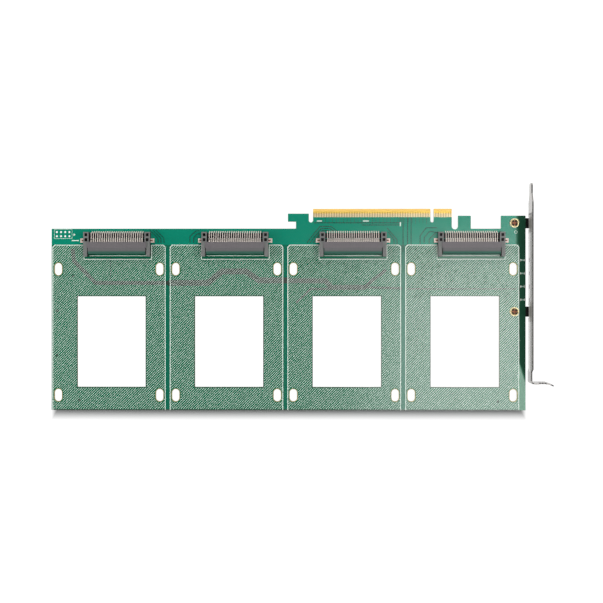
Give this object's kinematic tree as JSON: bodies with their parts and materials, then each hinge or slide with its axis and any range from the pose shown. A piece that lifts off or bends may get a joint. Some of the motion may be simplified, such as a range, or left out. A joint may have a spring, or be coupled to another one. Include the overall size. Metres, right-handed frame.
{
  "type": "nvme adapter card",
  "caption": "Long green adapter card with a x16 edge connector, right-angle drive receptacles, windowed mounting bays for 2.5 inch drives and a steel slot bracket",
  "frame": {"origin": "On the line of the edge connector's finger tips, at the middle of the key notch and of the board's thickness", "axes": "+X along the card towards the bracket, +Y towards the finger tips, +Z out of the component side"},
  "size_m": [0.3029, 0.1372, 0.0215],
  "materials": {
    "circuit_board": "green solder mask on glass fibre laminate",
    "gold_contact": "polished gold plating",
    "board_print": "white screen print",
    "bracket_steel": "bright nickel plating",
    "screw_steel": "yellow zinc plating",
    "receptacle_body": "moulded, dark grey",
    "contact_metal": "tinned tails",
    "lock_metal": "tinned sheet",
    "light_body": "clear moulded lens",
    "light_terminal": "soldered ends"
  },
  "bodies": {
    "root": {"circuit_board": "circuit_board", "edge_contacts_component_side": "gold_contact", "edge_contacts_solder_side": "gold_contact", "drive_bay_print": "board_print", "slot_bracket": "bracket_steel", "bracket_screws": "screw_steel", "activity_lights": "light_body", "activity_light_terminals": "light_terminal", "receptacle_1_housing": "receptacle_body", "receptacle_1_upper_contacts": "contact_metal", "receptacle_1_lower_contacts": "contact_metal", "receptacle_1_board_locks": "lock_metal", "receptacle_2_housing": "receptacle_body", "receptacle_2_upper_contacts": "contact_metal", "receptacle_2_lower_contacts": "contact_metal", "receptacle_2_board_locks": "lock_metal", "receptacle_3_housing": "receptacle_body", "receptacle_3_upper_contacts": "contact_metal", "receptacle_3_lower_contacts": "contact_metal", "receptacle_3_board_locks": "lock_metal", "receptacle_4_housing": "receptacle_body", "receptacle_4_upper_contacts": "contact_metal", "receptacle_4_lower_contacts": "contact_metal", "receptacle_4_board_locks": "lock_metal"}
  },
  "joints": []
}
